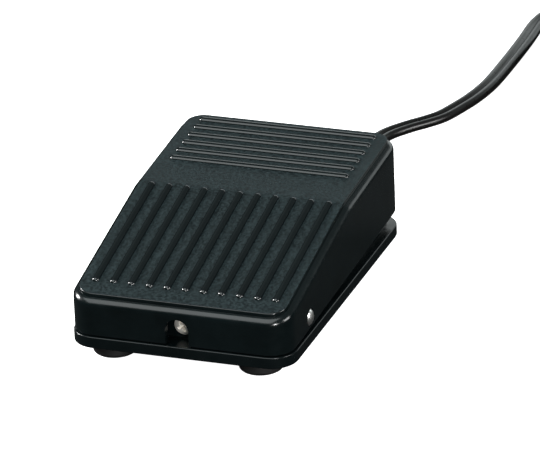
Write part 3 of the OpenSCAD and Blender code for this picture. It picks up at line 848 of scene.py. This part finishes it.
def screw(name, radius, head_r, head_h, length, material, turn):
    """A cross-recessed screw, built head up and then turned into place by a matrix."""
    foot = -head_h - length
    profile = pan_head(head_r, head_h) + [
        (radius, -head_h), (radius, foot), (radius * 0.5, foot - radius * 0.5), (0, foot - radius * 0.5)]
    made = build(name, [lathe(profile, 40)], material, 40)
    arm, tip = head_r * 0.62, head_r * 0.30
    cross = []
    for across in (False, True):
        rings = []
        for z, reach, half in ((0.4, arm, 0.155 * head_r), (-0.25 * head_h, arm * 0.95, 0.145 * head_r),
                               (-0.95 * head_h, tip, 0.07 * head_r)):
            pts = [(reach, -half, z), (reach, half, z), (-reach, half, z), (-reach, -half, z)]
            rings.append([(p[1], -p[0], p[2]) if across else p for p in pts])
        cross.append(loft(rings))
    for n, arm_shell in enumerate(cross):
        made = cut_away(made, build(f"{name}_cutter_{n}", [arm_shell], material))
    made.data.transform(turn)
    return made


PIN_HALF = 33.0
PIN_DOME = 3.15
PIN_END_R = 2.36
LOCK_R, LOCK_HEAD_R, LOCK_HEAD_H, LOCK_LENGTH = 1.5, 2.75, 1.9, 9.35
LOCK_Z, LOCK_TURN = 11.1, 28


def pin():
    """A turned pin with domed ends that stand a little proud of the pedal's sides."""
    end = []
    for i in range(9):
        r = PIN_END_R * i / 8
        end.append((r, PIN_HALF - PIN_DOME + math.sqrt(PIN_DOME ** 2 - r ** 2)))
    end.append((PIN_R, end[-1][1] - 0.1))
    profile = [(r, -h) for r, h in end] + [(r, h) for r, h in reversed(end)]
    return build("hinge_pin_turned", [lathe(profile, 48, "x", (0, PIN_Y, PIN_Z))], STEEL)


place(pin(), "tub", "steel_bright", "hinge_pin")
facing_front = (
    Matrix.Translation((0, (TUB_FRONT - LOCK_HEAD_H) * MM, LOCK_Z * MM))
    @ Matrix.Rotation(math.radians(90), 4, "X") @ Matrix.Rotation(math.radians(LOCK_TURN), 4, "Z"))
place(screw("lock_screw", LOCK_R, LOCK_HEAD_R, LOCK_HEAD_H, LOCK_LENGTH, NICKEL_PAINTED_BRIGHT, facing_front),
      "tub", "screw_nickel", "pin_lock_screw")


def spring():
    """Closed and ground end turns, with open turns between."""
    wire, turns, radius = 0.55, 8, 5.0
    per_turn = 28
    top = tread_z(SPRING_Y - radius) - STEP - SKIN - 0.3
    rise = top - SPRING_FOOT - 2 * wire
    route = []
    for i in range(turns * per_turn + 1):
        t = i / per_turn
        climb = min(max((t - 0.8) / (turns - 1.6), 0.05 * t), 1 - 0.05 * (turns - t))
        a = TAU * t
        z = SPRING_FOOT + wire + rise * climb
        route.append((radius * math.cos(a), SPRING_Y + radius * math.sin(a), z))
    section = [(wire * math.cos(TAU * k / 12), wire * math.sin(TAU * k / 12)) for k in range(12)]
    return build("return_spring_coil", [tube(route, section)], SPRING_WIRE, 60)


coil_spring = place(spring(), "tub", "spring_steel", "return_spring")
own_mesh(coil_spring)

KEPT = {
    "switch_case": SWITCH_DARK, "switch_cover": SWITCH_RED, "switch_lever": STEEL,
    "switch_plunger": SWITCH_RED, "switch_blade": BRASS, "switch_terminals": BRASS,
    "switch_screws": NICKEL_PAINTED_BRIGHT, "lead_wire_common": WIRE_CLEAR, "lead_wire_open": CORD_PVC,
    "cord_clamp": CLAMP_NYLON, "clamp_screws": NICKEL_PAINTED_BRIGHT,
}
for node, material in KEPT.items():
    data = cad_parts[node].data
    data.materials.clear()
    data.materials.append(material)

# ---------------------------------------------------------------- floor and light

WORLD_LOW, WORLD_HIGH = math.radians(8), math.radians(28)


def camera_ray_mix(tree, seen, other):
    """What the camera sees directly, and what everything else receives."""
    path = tree.nodes.new("ShaderNodeLightPath")
    mix = tree.nodes.new("ShaderNodeMixShader")
    tree.links.new(path.outputs["Is Camera Ray"], mix.inputs["Fac"])
    tree.links.new(other, mix.inputs[1])
    tree.links.new(seen, mix.inputs[2])
    return mix.outputs["Shader"]


def make_floor():
    """Nearly white to the camera, and nearly black in reflections so that the walls stay dark."""
    mesh = bpy.data.meshes.new("floor")
    reach = 6
    corners = [(-reach, -reach, 0), (reach, -reach, 0), (reach, reach, 0), (-reach, reach, 0)]
    mesh.from_pydata(corners, [], [(0, 1, 2, 3)])
    floor = bpy.data.objects.new("floor", mesh)
    bpy.context.scene.collection.objects.link(floor)
    made = bpy.data.materials.new("floor")
    made.use_nodes = True
    tree = made.node_tree
    tree.nodes.remove(tree.nodes["Principled BSDF"])
    glow = tree.nodes.new("ShaderNodeEmission")
    glow.inputs["Strength"].default_value = 0.96
    white = tree.nodes.new("ShaderNodeBsdfDiffuse")
    white.inputs["Color"].default_value = (0.8, 0.8, 0.8, 1)
    both = tree.nodes.new("ShaderNodeAddShader")
    tree.links.new(glow.outputs["Emission"], both.inputs[0])
    tree.links.new(white.outputs["BSDF"], both.inputs[1])
    dim = tree.nodes.new("ShaderNodeBsdfDiffuse")
    dim.inputs["Color"].default_value = (0.03, 0.03, 0.03, 1)
    tree.links.new(camera_ray_mix(tree, both.outputs["Shader"], dim.outputs["BSDF"]),
                   tree.nodes["Material Output"].inputs["Surface"])
    mesh.materials.append(made)


def area_light(name, at, size, power, colour=(1, 1, 1), aim=(0, 0, 0.015)):
    """A soft rectangle, in metres and watts, that the camera itself doesn't see."""
    data = bpy.data.lights.new(name, "AREA")
    data.shape = "RECTANGLE"
    data.size, data.size_y = size
    data.energy = power
    data.color = colour
    lamp = bpy.data.objects.new(name, data)
    lamp.location = at
    lamp.rotation_euler = (Vector(aim) - Vector(at)).to_track_quat("-Z", "Y").to_euler()
    lamp.visible_camera = False
    bpy.context.scene.collection.objects.link(lamp)


def make_world():
    """White to the camera, and to reflections a wall that is dark low down and paler higher up."""
    world = bpy.data.worlds.new("studio")
    bpy.context.scene.world = world
    world.use_nodes = True
    tree = world.node_tree
    dark = tree.nodes["Background"]
    dark.inputs["Color"].default_value = (0.88, 1.0, 1.0, 1)
    way = tree.nodes.new("ShaderNodeTexCoord").outputs["Generated"]
    split = tree.nodes.new("ShaderNodeSeparateXYZ")
    tree.links.new(way, split.inputs["Vector"])
    rise = tree.nodes.new("ShaderNodeMapRange")
    rise.inputs["From Min"].default_value = math.sin(WORLD_LOW)
    rise.inputs["From Max"].default_value = math.sin(WORLD_HIGH)
    rise.inputs["To Min"].default_value = 0.01
    rise.inputs["To Max"].default_value = 0.20
    tree.links.new(split.outputs["Z"], rise.inputs["Value"])
    tree.links.new(rise.outputs["Result"], dark.inputs["Strength"])
    pale = tree.nodes.new("ShaderNodeBackground")
    pale.inputs["Color"].default_value = (1, 1, 1, 1)
    pale.inputs["Strength"].default_value = 1.0
    tree.links.new(camera_ray_mix(tree, pale.outputs["Background"], dark.outputs["Background"]),
                   tree.nodes["World Output"].inputs["Surface"])


make_floor()
make_world()
area_light("key_left", (-1.5, -0.05, 0.65), (0.45, 0.45), 48)
area_light("fill_right", (1.5, -0.15, 0.6), (0.8, 0.6), 20)
area_light("front_right", (0.8, -1.25, 0.34), (0.3, 0.3), 16)
area_light("sweep_back", (0.25, 1.9, 0.50), (2.5, 0.9), 11, (0.93, 1.0, 1.0), aim=(0.25, 0, 0.35))
area_light("top_soft", (-0.25, -0.85, 1.0), (1.3, 1.35), 21, (0.94, 1.0, 1.0), aim=(-0.25, -0.85, 0))
bpy.context.scene.view_settings.view_transform = "Standard"
bpy.context.scene.view_settings.look = "None"
